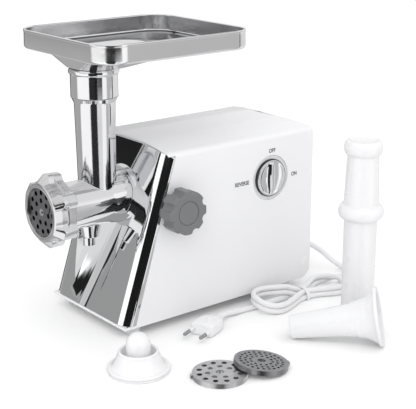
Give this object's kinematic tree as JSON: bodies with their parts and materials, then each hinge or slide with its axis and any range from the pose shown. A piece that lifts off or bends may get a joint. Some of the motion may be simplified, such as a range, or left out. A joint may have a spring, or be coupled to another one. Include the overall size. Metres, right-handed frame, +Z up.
{
  "type": "electric meat grinder",
  "caption": "Table-top electric meat grinder with a feed tray, lift-off grinding head, rotary switch, locking knob, cord and its loose accessories.",
  "frame": {"origin": "on the table, below the middle of the box around the machine and its accessories without the cord", "axes": "+Z up along the feed tube, -X the way the barrel points, -Y the side with the switch and the locking knob"},
  "size_m": [0.3835, 0.34, 0.308],
  "materials": {
    "housing_plastic": "glossy white moulding",
    "plated_cover": "bright plated plastic",
    "base_plastic": "textured white moulding",
    "foot_rubber": "pale soft rubber",
    "steel": "bright steel",
    "cast_aluminium": "polished casting",
    "ring_aluminium": "satin casting",
    "plate_steel": "dark ground steel",
    "tray_steel": "polished pressed sheet",
    "case_aluminium": "die cast",
    "gear_nylon": "moulded nylon",
    "lamination": "stacked sheet",
    "enamelled_copper": "varnished winding wire",
    "brass": "bright brass",
    "black_plastic": "black moulding",
    "carbon": "pressed carbon",
    "switch_chrome": "bright plated plastic",
    "knob_plastic": "matt grey moulding",
    "white_plastic": "white food-grade moulding",
    "cord_sheath": "soft white sheath"
  },
  "bodies": {
    "chassis": {"housing": "housing_plastic", "front_plate": "plated_cover", "base_plate": "base_plastic", "feet": "foot_rubber", "base_screws": "steel", "neck_sleeve": "case_aluminium", "gearbox_case": "case_aluminium", "gearbox_cover": "case_aluminium", "gearbox_screws": "steel", "idler_shaft": "steel", "motor_frame": "case_aluminium", "motor_core": "lamination", "field_coils": "enamelled_copper", "motor_bearings": "brass", "carbon_brushes": "carbon", "brush_holders": "brass", "switch_body": "black_plastic", "dial_seal": "black_plastic", "lock_insert": "steel", "cord_gland": "cord_sheath", "cord_lead": "cord_sheath", "cord_hank": "cord_sheath", "cord_tail": "cord_sheath", "cord_tie": "white_plastic", "plug_body": "white_plastic", "plug_pins": "steel"},
    "rotor": {"rotor_core": "lamination", "rotor_shaft": "steel", "rotor_windings": "enamelled_copper", "commutator": "brass", "motor_pinion": "steel", "cooling_fan": "black_plastic"},
    "idler": {"idler_gear": "gear_nylon"},
    "output": {"output_gear": "gear_nylon", "output_coupling": "steel"},
    "head": {"head_casting": "cast_aluminium", "thrust_washer": "gear_nylon"},
    "auger": {"auger_screw": "cast_aluminium", "auger_shaft": "steel", "cutting_knife": "steel"},
    "disc": {"cutting_plate": "plate_steel"},
    "ring": {"ring_nut": "ring_aluminium"},
    "hopper": {"tray": "tray_steel"},
    "dial": {"switch_dial": "switch_chrome"},
    "pad": {"lock_pad": "black_plastic"},
    "knob": {"lock_knob": "knob_plastic"},
    "pusher": {"pusher": "white_plastic"},
    "filler": {"sausage_tube": "white_plastic"},
    "kebbe_base": {"kebbe_cone": "white_plastic"},
    "kebbe_top": {"kebbe_former": "white_plastic"},
    "spare_coarse": {"coarse_plate": "steel"},
    "spare_fine": {"fine_plate": "plate_steel"}
  },
  "joints": [
    {"name": "rotor_spin", "type": "hinge", "parent": "chassis", "child": "rotor", "pos_m": [0.0535, 0.08654, 0.0558], "axis": [1, 0, 0], "continuous": true},
    {"name": "idler_spin", "type": "hinge", "parent": "chassis", "child": "idler", "pos_m": [-0.0065, 0.08654, 0.087], "axis": [1, 0, 0], "continuous": true},
    {"name": "output_spin", "type": "hinge", "parent": "chassis", "child": "output", "pos_m": [-0.0065, 0.08654, 0.132], "axis": [1, 0, 0], "continuous": true},
    {"name": "head_pull", "type": "slide", "parent": "chassis", "child": "head", "axis": [-1, 0, 0], "range_m": [0, 0.065]},
    {"name": "auger_spin", "type": "hinge", "parent": "head", "child": "auger", "pos_m": [-0.0865, 0.08654, 0.132], "axis": [1, 0, 0], "continuous": true},
    {"name": "plate_out", "type": "slide", "parent": "head", "child": "disc", "axis": [-1, 0, 0], "range_m": [0, 0.0121]},
    {"name": "ring_turn", "type": "hinge", "parent": "disc", "child": "ring", "pos_m": [-0.1465, 0.08654, 0.132], "axis": [-1, 0, 0], "range_deg": [0, 1440]},
    {"name": "tray_lift", "type": "slide", "parent": "head", "child": "hopper", "axis": [0, 0, 1], "range_m": [0, 0.04]},
    {"name": "switch_turn", "type": "hinge", "parent": "chassis", "child": "dial", "pos_m": [0.0935, 0.01654, 0.14], "axis": [0, -1, 0], "range_deg": [-90, 90]},
    {"name": "lock_slide", "type": "slide", "parent": "chassis", "child": "pad", "axis": [0, -1, 0], "range_m": [0, 0.0076]},
    {"name": "lock_turn", "type": "hinge", "parent": "pad", "child": "knob", "pos_m": [-0.0405, 0.01654, 0.132], "axis": [0, -1, 0], "range_deg": [0, 1080]},
    {"name": "pusher_lift", "type": "slide", "parent": "chassis", "child": "pusher", "axis": [0, 0, 1], "range_m": [0, 0.06]},
    {"name": "filler_lift", "type": "slide", "parent": "chassis", "child": "filler", "axis": [0, 0, 1], "range_m": [0, 0.06]},
    {"name": "kebbe_lift", "type": "slide", "parent": "chassis", "child": "kebbe_base", "axis": [0, 0, 1], "range_m": [0, 0.06]},
    {"name": "former_lift", "type": "slide", "parent": "kebbe_base", "child": "kebbe_top", "axis": [0, 0, 1], "range_m": [0, 0.03]},
    {"name": "coarse_lift", "type": "slide", "parent": "chassis", "child": "spare_coarse", "axis": [0, 0, 1], "range_m": [0, 0.06]},
    {"name": "fine_lift", "type": "slide", "parent": "spare_coarse", "child": "spare_fine", "axis": [0, 0, 1], "range_m": [0, 0.03]}
  ],
  "couplings": [
    {"joint": "idler_spin", "follows": "rotor_spin", "ratio": -0.18182},
    {"joint": "output_spin", "follows": "rotor_spin", "ratio": 0.036364},
    {"joint": "auger_spin", "follows": "rotor_spin", "ratio": 0.036364},
    {"joint": "plate_out", "follows": "ring_turn", "m_per_rad": 0.00047746},
    {"joint": "lock_slide", "follows": "lock_turn", "m_per_rad": 0.00039789}
  ]
}
